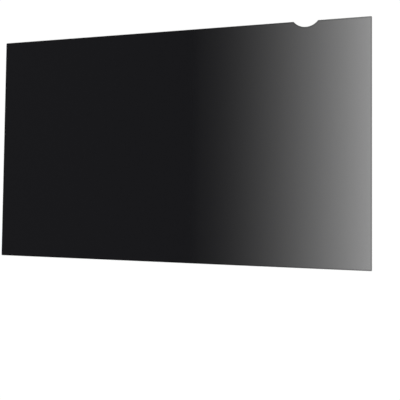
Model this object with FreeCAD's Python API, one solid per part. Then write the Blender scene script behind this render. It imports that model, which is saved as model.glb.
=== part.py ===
"""A monitor privacy filter: one stiff sheet of dark louvre film, cut to a shape of 16:9.

The sheet is a single bonded laminate, so it is one solid: a rectangle with small round corners
and a notch in its upper edge, where a fingertip lifts it.
It lies flat on its back face. X runs along its width, Y towards its upper edge,
and Z up through it and out of its front face. The origin is under the middle of the sheet.
"""

import FreeCAD, Part
import os

# Driving dimensions in millimetres
SHEET_WIDTH = 531.0  # with its height, 24 inches from corner to corner
SHEET_HEIGHT = 299.0
SHEET_THICKNESS = 0.5
CORNER_RADIUS = 1.0  # the four corners of the outline
NOTCH_WIDTH = 31.5  # across the notch's mouth, before its lips are rounded
NOTCH_DEPTH = 7.2
NOTCH_FROM_RIGHT = 82.3  # from the right edge to the middle of the notch
LIP_RADIUS = 0.5  # the two corners where the notch meets the upper edge
RIM_RADIUS = 0.1  # the cut edge, all round, where it turns into each face

# Two places closer than this are the same place
SAME_PLACE = 0.001

PARTS_FOLDER = "parts"


def outline_face():
    """The sheet's outline at its back face, with sharp corners and a circular notch."""
    right = SHEET_WIDTH / 2
    top = SHEET_HEIGHT / 2
    notch_middle = right - NOTCH_FROM_RIGHT
    notch_start = FreeCAD.Vector(notch_middle - NOTCH_WIDTH / 2, top, 0)
    notch_bottom = FreeCAD.Vector(notch_middle, top - NOTCH_DEPTH, 0)
    notch_end = FreeCAD.Vector(notch_middle + NOTCH_WIDTH / 2, top, 0)
    straight_run = [
        notch_end,
        FreeCAD.Vector(right, top, 0),
        FreeCAD.Vector(right, -top, 0),
        FreeCAD.Vector(-right, -top, 0),
        FreeCAD.Vector(-right, top, 0),
        notch_start,
    ]
    edges = [Part.LineSegment(a, b).toShape() for a, b in zip(straight_run, straight_run[1:])]
    edges.append(Part.Arc(notch_start, notch_bottom, notch_end).toShape())
    return Part.Face(Part.Wire(edges))


def upright_edges(solid, on_sides):
    """The edges through the sheet's thickness, on its left and right sides or between them."""
    found = []
    for edge in solid.Edges:
        middle = edge.BoundBox.Center
        is_upright = edge.BoundBox.ZLength > SHEET_THICKNESS - SAME_PLACE
        at_side = abs(abs(middle.x) - SHEET_WIDTH / 2) < SAME_PLACE
        if is_upright and at_side == on_sides:
            found.append(edge)
    return found


def flat_edges(solid):
    """The edges that lie in the front or the back face: the rim of the sheet."""
    return [edge for edge in solid.Edges if edge.BoundBox.ZLength < SAME_PLACE]


def filter_sheet():
    """The whole filter: the outline through its thickness, with lips, corners and rim rounded."""
    sheet = outline_face().extrude(FreeCAD.Vector(0, 0, SHEET_THICKNESS))
    sheet = sheet.makeFillet(LIP_RADIUS, upright_edges(sheet, on_sides=False))
    sheet = sheet.makeFillet(CORNER_RADIUS, upright_edges(sheet, on_sides=True))
    return sheet.makeFillet(RIM_RADIUS, flat_edges(sheet))


def main():
    os.makedirs(PARTS_FOLDER, exist_ok=True)
    sheet = filter_sheet()
    sheet.exportStep(os.path.join(PARTS_FOLDER, "filter_sheet.step"))
    size = sheet.optimalBoundingBox(False)
    print("valid", sheet.isValid(), "solids", len(sheet.Solids), "faces", len(sheet.Faces))
    print("size mm", size.XLength, size.YLength, size.ZLength, "volume mm3", sheet.Volume)


main()
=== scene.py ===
import math

import bmesh
import bpy
from mathutils import Matrix, Vector


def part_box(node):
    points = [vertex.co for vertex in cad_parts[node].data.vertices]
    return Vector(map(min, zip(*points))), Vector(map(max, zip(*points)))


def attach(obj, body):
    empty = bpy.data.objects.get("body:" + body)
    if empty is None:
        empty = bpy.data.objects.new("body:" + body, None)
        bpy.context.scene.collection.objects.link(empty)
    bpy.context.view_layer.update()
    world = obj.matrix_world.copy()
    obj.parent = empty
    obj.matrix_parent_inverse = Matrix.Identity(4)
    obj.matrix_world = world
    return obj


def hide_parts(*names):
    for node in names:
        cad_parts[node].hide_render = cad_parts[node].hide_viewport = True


# A monitor privacy filter that lies on a pale floor: one stiff sheet of dark louvre film with a notch.
# Lengths are in metres, in the frame of the solid: X along the width, Y towards the notched edge, Z up.
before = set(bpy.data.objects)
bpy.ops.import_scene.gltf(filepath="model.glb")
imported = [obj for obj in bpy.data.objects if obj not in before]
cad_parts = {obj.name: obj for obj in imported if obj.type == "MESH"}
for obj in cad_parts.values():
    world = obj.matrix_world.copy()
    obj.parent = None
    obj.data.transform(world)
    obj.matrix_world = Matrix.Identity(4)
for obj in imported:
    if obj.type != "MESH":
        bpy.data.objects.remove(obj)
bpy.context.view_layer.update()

# The sheet's outline, with its overall size from the solid
SHEET_LOW, SHEET_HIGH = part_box("filter_sheet")
HALF_WIDTH = SHEET_HIGH.x
HALF_HEIGHT = SHEET_HIGH.y
THICKNESS = SHEET_HIGH.z - SHEET_LOW.z
CORNER_RADIUS = 0.0010
NOTCH_WIDTH = 0.0315  # across its mouth, before its lips are rounded
NOTCH_DEPTH = 0.0072
NOTCH_FROM_RIGHT = 0.0823  # from the right edge to the middle of the notch
LIP_RADIUS = 0.0005
RIM_RADIUS = 0.0001  # where the cut edge turns into each face
NOTCH_RADIUS = (NOTCH_WIDTH ** 2 / 4 + NOTCH_DEPTH ** 2) / (2 * NOTCH_DEPTH)
NOTCH_CENTRE = Vector((HALF_WIDTH - NOTCH_FROM_RIGHT, HALF_HEIGHT - NOTCH_DEPTH + NOTCH_RADIUS))

# How finely the sheet is meshed
CORNER_STEPS = 4
LIP_STEPS = 3
NOTCH_STEPS = 28
RIM_STEPS = 3
COLUMN_WIDTH = 0.010
ROW_COUNT = 30

# The film's own surface: a black satin face that reflects little
FILM_BLACK = (0.0069, 0.0069, 0.0081)
MOTTLE_SHARE = 0.12  # how much lighter and darker its black gets
MOTTLE_SIZE = 0.004
SHINE = 0.03  # the shader's specular level, where 0.5 is plain plastic
SATIN_LEAST = 0.40  # how rough the satin is, in patches
SATIN_MOST = 0.48
SATIN_SIZE = 0.035
GRAIN_SIZE = 0.0006  # the fine grain of the glare coating
GRAIN_HEIGHT = 0.000008

# What a face lets through: a trace until a little past the middle, and from there more and more to the right
OPEN_FROM = 0.030
OPEN_LEAST = 0.090  # an even rise from here to the most, which is then bent
OPEN_MOST = 0.666
OPEN_BEND = 1.2  # the power that makes the rise slower at first
OPEN_TRACE = 0.12  # of the least, where the film looks black
SOFT_START = 0.030  # the width over which the rise sets in
STREAK_SIZE = 0.005  # faint upright streaks, as the louvres are not quite even
STREAK_SHARE = 0.01

# The darker line along the cut edge
RIM_BLACK = (0.0015, 0.0015, 0.0018)
RIM_LINE = 0.0020  # how wide it is
RIM_OPEN = 0.78  # of what the film lets through beside it

# The camera, which sees the sheet at the photograph's angle
IMAGE_SIDE = 400  # pixels
FOCAL_LENGTH = 961.57  # pixels
AXIS_ROW = 140  # pixels from the top, where the camera's axis passes the image
SENSOR_WIDTH = 36  # millimetres
AIM = Vector((0.04185, 0.00689, THICKNESS))
DISTANCE = 1.2228
TURN = math.radians(25.951)  # from straight above, towards the right edge
PITCH = math.radians(3.526)  # and towards the lower edge
ROLL = math.radians(0.634)

# The floor
FLOOR_SIDE = 40.0
FLOOR_GAP = 0.0002  # keeps it clear of the sheet's back face
FLOOR_WHITE = (0.90, 0.90, 0.90)
FLOOR_GLOW = 1.15  # with the lit floor's share, just over white
GLOW_SHARE = 0.50  # how much of what is seen of the floor is its own glow

# The light, whose two shares together show a colour as it is written
SKY_WHITE = (1.0, 1.0, 1.0)
SKY_LIGHT = 0.55
KEY_LIGHT = 0.45
KEY_FROM = Vector((0.50, -0.62, 0.90))
KEY_SPREAD = math.radians(30)


def rgba(colour):
    """A solid colour, as nodes take it."""
    return (*colour, 1.0)


def placed(name, data):
    """A new object in the scene."""
    thing = bpy.data.objects.new(name, data)
    bpy.context.scene.collection.objects.link(thing)
    return thing


# The outline is a list of points, each with its outward direction

def arc(centre, radius, start, end, steps):
    """A round stretch, with directions away from its centre."""
    points = []
    for step in range(steps + 1):
        angle = start + (end - start) * step / steps
        outward = Vector((math.cos(angle), math.sin(angle)))
        points.append((centre + outward * radius, outward))
    return points


def between(start, end, outward):
    """A straight stretch, without its two ends."""
    steps = max(1, round((end - start).length / COLUMN_WIDTH))
    return [(start.lerp(end, step / steps), outward) for step in range(1, steps)]


def turned_over(stretch):
    """The same stretch on the lower edge."""
    flipped = Vector((1, -1))
    return [(place * flipped, outward * flipped) for place, outward in stretch]


def notch_with_lips():
    """The notch, from its left lip to its right one. A lip touches the upper edge and the notch's circle."""
    drop = NOTCH_CENTRE.y - HALF_HEIGHT + LIP_RADIUS
    side = math.sqrt((NOTCH_RADIUS + LIP_RADIUS) ** 2 - drop ** 2)
    lean = math.atan2(drop, side)
    left_centre = NOTCH_CENTRE + Vector((-side, -drop))
    right_centre = NOTCH_CENTRE + Vector((side, -drop))
    left_lip = arc(left_centre, LIP_RADIUS, math.pi / 2, lean, LIP_STEPS)
    right_lip = arc(right_centre, LIP_RADIUS, math.pi - lean, math.pi / 2, LIP_STEPS)
    hollow = arc(NOTCH_CENTRE, NOTCH_RADIUS, math.pi + lean, 2 * math.pi - lean, NOTCH_STEPS)
    return left_lip + [(place, -from_centre) for place, from_centre in hollow[1:-1]] + right_lip


def outline():
    """The lower and the upper edge, from left to right, with a point of one under each point of the other."""
    corner = Vector((HALF_WIDTH - CORNER_RADIUS, HALF_HEIGHT - CORNER_RADIUS))
    left_corner = arc(Vector((-corner.x, corner.y)), CORNER_RADIUS, math.pi, math.pi / 2, CORNER_STEPS)
    right_corner = arc(corner, CORNER_RADIUS, math.pi / 2, 0, CORNER_STEPS)
    notch = notch_with_lips()
    up = Vector((0, 1))
    left_run = between(left_corner[-1][0], notch[0][0], up)
    right_run = between(notch[-1][0], right_corner[0][0], up)
    run = left_run + notch + right_run
    under_run = [(Vector((place.x, -HALF_HEIGHT)), -up) for place, _ in run]
    lower = turned_over(left_corner) + under_run + turned_over(right_corner)
    return lower, left_corner + run + right_corner


def rim_profile():
    """The rounded cut edge between the two faces: distance outwards from a face's border, and height."""
    angles = [math.pi / 2 * step / RIM_STEPS for step in range(1, RIM_STEPS + 1)]
    front = [(RIM_RADIUS * math.sin(a), THICKNESS - RIM_RADIUS * (1 - math.cos(a))) for a in angles]
    back = [(out, THICKNESS - height) for out, height in reversed(front)]
    return front + back


# The sheet is meshed in quads: two faces and the cut edge between their borders

def face_columns(mesh, lower, upper, height):
    """The points of one face, in columns that run up the sheet."""
    columns = []
    for (low, low_outward), (high, high_outward) in zip(lower, upper):
        start = low - low_outward * RIM_RADIUS
        end = high - high_outward * RIM_RADIUS
        places = [start.lerp(end, row / ROW_COUNT) for row in range(ROW_COUNT + 1)]
        columns.append([mesh.verts.new((place.x, place.y, height)) for place in places])
    return columns


def face_quads(mesh, columns, order):
    """One face, which looks up where the order is 1 and down where it is -1."""
    for left, right in zip(columns, columns[1:]):
        for row in range(ROW_COUNT):
            corners = [left[row], right[row], right[row + 1], left[row + 1]]
            mesh.faces.new(corners[::order])


def border(columns):
    """The points along a face's border, anticlockwise from its lower left."""
    bottom = [column[0] for column in columns]
    top = [column[-1] for column in reversed(columns)]
    return bottom + columns[-1][1:-1] + top + columns[0][-2:0:-1]


def border_outward(lower, upper):
    """The outward directions along that border."""
    bottom = [outward for _, outward in lower]
    top = [outward for _, outward in reversed(upper)]
    side_rows = ROW_COUNT - 1
    right_side = [Vector((1, 0))] * side_rows
    left_side = [Vector((-1, 0))] * side_rows
    return bottom + right_side + top + left_side


def rim_quads(mesh, front_border, back_border, directions):
    """The cut edge, in rings from one border to the other."""
    rings = [front_border]
    for out, height in rim_profile():
        places = [vert.co.to_2d() + outward * out for vert, outward in zip(front_border, directions)]
        rings.append([mesh.verts.new((place.x, place.y, height)) for place in places])
    rings.append(back_border)
    for above, below in zip(rings, rings[1:]):
        for here in range(len(above)):
            corners = [above[here], above[here - 1], below[here - 1], below[here]]
            mesh.faces.new(corners).smooth = True


def film_mesh():
    lower, upper = outline()
    mesh = bmesh.new()
    front = face_columns(mesh, lower, upper, THICKNESS)
    back = face_columns(mesh, lower, upper, 0)
    face_quads(mesh, front, 1)
    face_quads(mesh, back, -1)
    rim_quads(mesh, border(front), border(back), border_outward(lower, upper))
    data = bpy.data.meshes.new("film_sheet")
    mesh.to_mesh(data)
    mesh.free()
    return data


class Nodes:
    """The nodes of a material or a world. Where a value is asked for, an output of another node will do."""

    def __init__(self, owner):
        owner.use_nodes = True
        self.tree = owner.node_tree
        self.tree.nodes.clear()

    def add(self, kind, **inputs):
        """A new node. In the names of its inputs, an underscore stands for a space."""
        node = self.tree.nodes.new(kind)
        for name, value in inputs.items():
            self.put(node.inputs[name.replace("_", " ")], value)
        return node

    def put(self, socket, value):
        if isinstance(value, bpy.types.NodeSocket):
            self.tree.links.new(value, socket)
        else:
            socket.default_value = value

    def math(self, operation, *values, kind="ShaderNodeMath", output="Value"):
        """The result of an operation on numbers, or on vectors where the kind of node says so."""
        node = self.tree.nodes.new(kind)
        node.operation = operation
        for socket, value in zip(node.inputs, values):
            self.put(socket, value)
        return node.outputs[output]

    def scaled(self, vector, by):
        return self.math("MULTIPLY", vector, by, kind="ShaderNodeVectorMath", output="Vector")

    def ramp(self, value, low, high, to_low=0.0, to_high=1.0, bend="LINEAR"):
        """The value, where it runs from low to high, as one that runs from to_low to to_high."""
        limits = {"From_Min": low, "From_Max": high, "To_Min": to_low, "To_Max": to_high}
        node = self.add("ShaderNodeMapRange", Value=value, **limits)
        node.interpolation_type = bend
        return node.outputs["Result"]

    def noise(self, place, size, low, high):
        """Soft noise between two values, in patches about as large as size."""
        texture = self.add("ShaderNodeTexNoise", Vector=place, Scale=1 / size)
        return self.ramp(texture.outputs["Fac"], 0, 1, low, high)

    def mix(self, share, first, second):
        """One colour, and a share of another over it."""
        node = self.tree.nodes.new("ShaderNodeMix")
        node.data_type = "RGBA"
        for name, value in (("Factor", share), ("A", first), ("B", second)):
            self.put(node.inputs[name], value)
        return node.outputs["Result"]


def from_cut_edge(nodes, place):
    """How far a point on the film lies from the cut edge."""
    split = nodes.add("ShaderNodeSeparateXYZ", Vector=place)
    from_sides = nodes.math("SUBTRACT", HALF_WIDTH, nodes.math("ABSOLUTE", split.outputs["X"]))
    from_ends = nodes.math("SUBTRACT", HALF_HEIGHT, nodes.math("ABSOLUTE", split.outputs["Y"]))
    to_notch = nodes.math("DISTANCE", place, NOTCH_CENTRE.to_3d(), kind="ShaderNodeVectorMath")
    from_notch = nodes.math("SUBTRACT", to_notch, NOTCH_RADIUS)
    return nodes.math("MINIMUM", nodes.math("MINIMUM", from_sides, from_ends), from_notch)


def let_through(nodes, place, rim):
    """What a face lets through: more and more to the right, in faint streaks, and less along the cut edge."""
    across = nodes.add("ShaderNodeSeparateXYZ", Vector=place).outputs["X"]
    even_rise = nodes.ramp(across, OPEN_FROM, HALF_WIDTH, OPEN_LEAST, OPEN_MOST)
    rise = nodes.math("POWER", even_rise, OPEN_BEND)
    start = OPEN_FROM - SOFT_START / 2
    setting_in = nodes.ramp(across, start, start + SOFT_START, OPEN_TRACE, 1, "SMOOTHSTEP")
    only_across = nodes.scaled(place, (1, 0, 0))
    streaks = nodes.noise(only_across, STREAK_SIZE, 1 - STREAK_SHARE, 1 + STREAK_SHARE)
    share = nodes.math("MULTIPLY", nodes.math("MULTIPLY", rise, setting_in), streaks)
    return nodes.math("MULTIPLY", share, nodes.ramp(rim, 0, 1, 1, RIM_OPEN))


def louvre_film():
    """Black satin film that hides what is behind it on the left and shows more of it towards the right."""
    material = bpy.data.materials.new("louvre_film")
    nodes = Nodes(material)
    place = nodes.add("ShaderNodeTexCoord").outputs["Object"]
    rim = nodes.ramp(from_cut_edge(nodes, place), 0, RIM_LINE, 1, 0)
    mottle = nodes.noise(place, MOTTLE_SIZE, 1 - MOTTLE_SHARE, 1 + MOTTLE_SHARE)
    colour = nodes.scaled(nodes.mix(rim, rgba(FILM_BLACK), rgba(RIM_BLACK)), mottle)
    satin = nodes.noise(place, SATIN_SIZE, SATIN_LEAST, SATIN_MOST)
    grain = nodes.add("ShaderNodeBump", Height=nodes.noise(place, GRAIN_SIZE, 0, 1), Distance=GRAIN_HEIGHT)
    shader = nodes.add("ShaderNodeBsdfPrincipled", Base_Color=colour, Roughness=satin)
    shader.inputs["Specular IOR Level"].default_value = SHINE
    nodes.put(shader.inputs["Normal"], grain.outputs["Normal"])
    nodes.put(shader.inputs["Alpha"], nodes.math("SUBTRACT", 1, let_through(nodes, place, rim)))
    nodes.add("ShaderNodeOutputMaterial", Surface=shader.outputs["BSDF"])
    return material


def film_sheet():
    """The whole filter."""
    sheet = placed("film_sheet", film_mesh())
    sheet.data.materials.append(louvre_film())
    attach(sheet, "root")
    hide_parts("filter_sheet")


def looked_at(nodes):
    """1 where something is looked at, straight or in gloss or glass, and 0 where it only gives light."""
    path = nodes.add("ShaderNodeLightPath").outputs
    seen = nodes.math("MAXIMUM", path["Is Camera Ray"], path["Is Glossy Ray"])
    return nodes.math("MAXIMUM", seen, path["Is Transmission Ray"])


def floor_white():
    """Matte white, part of which glows where it is looked at, so that the film on it shades it less."""
    material = bpy.data.materials.new("floor_white")
    nodes = Nodes(material)
    matte = nodes.add("ShaderNodeBsdfDiffuse", Color=rgba(FLOOR_WHITE))
    glow = nodes.add("ShaderNodeEmission", Strength=FLOOR_GLOW)
    both = nodes.add("ShaderNodeMixShader", Fac=nodes.math("MULTIPLY", looked_at(nodes), GLOW_SHARE))
    nodes.put(both.inputs[1], matte.outputs["BSDF"])
    nodes.put(both.inputs[2], glow.outputs["Emission"])
    nodes.add("ShaderNodeOutputMaterial", Surface=both.outputs["Shader"])
    return material


def floor():
    half = FLOOR_SIDE / 2
    corners = ((-half, -half), (half, -half), (half, half), (-half, half))
    data = bpy.data.meshes.new("floor")
    data.from_pydata([(x, y, -FLOOR_GAP) for x, y in corners], [], [range(len(corners))])
    data.materials.append(floor_white())
    placed("floor", data)


def sky():
    """White where it is looked at, and soft light from all round."""
    world = bpy.data.worlds.new("sky")
    nodes = Nodes(world)
    strength = nodes.ramp(looked_at(nodes), 0, 1, SKY_LIGHT, 1)
    light = nodes.add("ShaderNodeBackground", Color=rgba(SKY_WHITE), Strength=strength)
    nodes.add("ShaderNodeOutputWorld", Surface=light.outputs["Background"])
    bpy.context.scene.world = world


def key_light():
    """A broad soft lamp from the front right, as strong as its share of the light on the floor asks."""
    lamp = bpy.data.lights.new("key_light", "SUN")
    lamp.angle = KEY_SPREAD
    lamp.energy = KEY_LIGHT * math.pi / KEY_FROM.normalized().z
    placed("key_light", lamp).rotation_euler = KEY_FROM.to_track_quat("Z", "Y").to_euler()


def camera():
    lens = bpy.data.cameras.new("camera")
    lens.sensor_width = SENSOR_WIDTH
    lens.lens = SENSOR_WIDTH * FOCAL_LENGTH / IMAGE_SIDE
    lens.shift_y = (AXIS_ROW - IMAGE_SIDE / 2) / IMAGE_SIDE
    turned = Matrix.Rotation(TURN, 3, "Y") @ Matrix.Rotation(PITCH, 3, "X") @ Matrix.Rotation(ROLL, 3, "Z")
    holder = placed("camera", lens)
    holder.rotation_euler = turned.to_euler()
    holder.location = AIM + turned.col[2] * DISTANCE
    bpy.context.scene.camera = holder


camera()
film_sheet()
floor()
sky()
key_light()
bpy.context.scene.view_settings.view_transform = "Standard"
